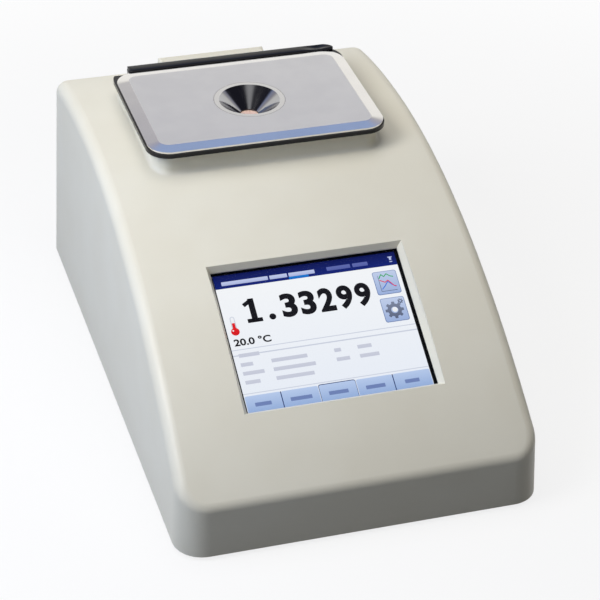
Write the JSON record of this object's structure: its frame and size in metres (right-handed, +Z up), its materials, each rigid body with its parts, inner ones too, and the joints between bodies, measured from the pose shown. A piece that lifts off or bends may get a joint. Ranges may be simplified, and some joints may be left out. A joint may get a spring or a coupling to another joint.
{
  "type": "refractometer",
  "caption": "Bench refractometer: wedge-shaped moulded housing with a sloping touch screen, a steel sample plate with a conical prism dish, a rear connector panel and a fan hood.",
  "frame": {"origin": "centre of the footprint on the table, under the feet", "axes": "+Z up, -Y the front with the sloping screen, +X to the right seen from the front"},
  "size_m": [0.224, 0.357, 0.1525],
  "materials": {
    "housing": "fine moulded texture, cream",
    "black_plastic": "matt black moulding",
    "tray_black": "glossy black insulating plastic",
    "foot_rubber": "matt rubber",
    "base_metal": "powder-coated sheet",
    "panel_metal": "powder-coated sheet",
    "plate_steel": "satin stainless steel with brighter borders",
    "dish_steel": "polished stainless steel",
    "seal": "flat chemical-resistant ring",
    "prism_glass": "polished optical crystal",
    "block_metal": "milled, nickel plated",
    "ceramic": "white ceramic skins",
    "sink_aluminium": "black anodised extrusion",
    "channel_aluminium": "milled, black anodised against stray light",
    "lens_glass": "coated optical glass",
    "lamp": "clear amber emitter in its block",
    "sensor": "dark ceramic package with a window",
    "board": "green circuit laminate",
    "chips": "moulded packages and tinned shields",
    "touch_glass": "touch screen glass",
    "display": "display module in a metal rim",
    "foam": "black foam strip",
    "sheet_steel": "zinc-plated sheet",
    "ribbon": "flat film conductor",
    "connector_metal": "tinned sheet",
    "contact": "plated contacts",
    "switch_black": "glossy black moulding",
    "screw_steel": "zinc-plated screws"
  },
  "bodies": {
    "instrument": {"housing_cover": "housing", "base_plate": "base_metal", "rubber_feet": "foot_rubber", "rear_panel": "panel_metal", "rear_hood": "housing", "sample_plate": "plate_steel", "sample_tray": "tray_black", "dish_insert": "dish_steel", "prism_seal": "seal", "prism": "prism_glass", "prism_block": "block_metal", "temperature_sensor": "dish_steel", "peltier_module": "ceramic", "heat_sink": "sink_aluminium", "optical_channel": "channel_aluminium", "condenser_lens": "lens_glass", "imaging_lens": "lens_glass", "lens_mounts": "channel_aluminium", "light_source": "lamp", "sensor_board": "board", "line_sensor": "sensor", "display_gasket": "foam", "touch_glass": "touch_glass", "display_module": "display", "display_bracket": "sheet_steel", "display_ribbon": "ribbon", "main_board": "board", "board_standoffs": "connector_metal", "board_components": "chips", "power_supply": "board", "supply_cage": "sheet_steel", "power_inlet": "black_plastic", "inlet_pins": "contact", "switch_housing": "black_plastic", "network_port": "connector_metal", "usb_ports": "connector_metal", "serial_port": "connector_metal", "fan_frame": "black_plastic", "base_screws": "screw_steel", "plate_screws": "screw_steel", "block_screws": "screw_steel", "display_screws": "screw_steel", "board_screws": "screw_steel", "panel_screws": "screw_steel", "fan_screws": "screw_steel"},
    "rocker": {"power_rocker": "switch_black"},
    "rotor": {"fan_rotor": "black_plastic"}
  },
  "joints": [
    {"name": "rocker_tilt", "type": "hinge", "parent": "instrument", "child": "rocker", "pos_m": [-0.03015, 0.1737, 0.037], "axis": [1, 0, 0], "range_deg": [0, 20]},
    {"name": "fan_spin", "type": "hinge", "parent": "instrument", "child": "rotor", "pos_m": [0, 0.17, 0.099], "axis": [0, 1, 0], "continuous": true}
  ]
}
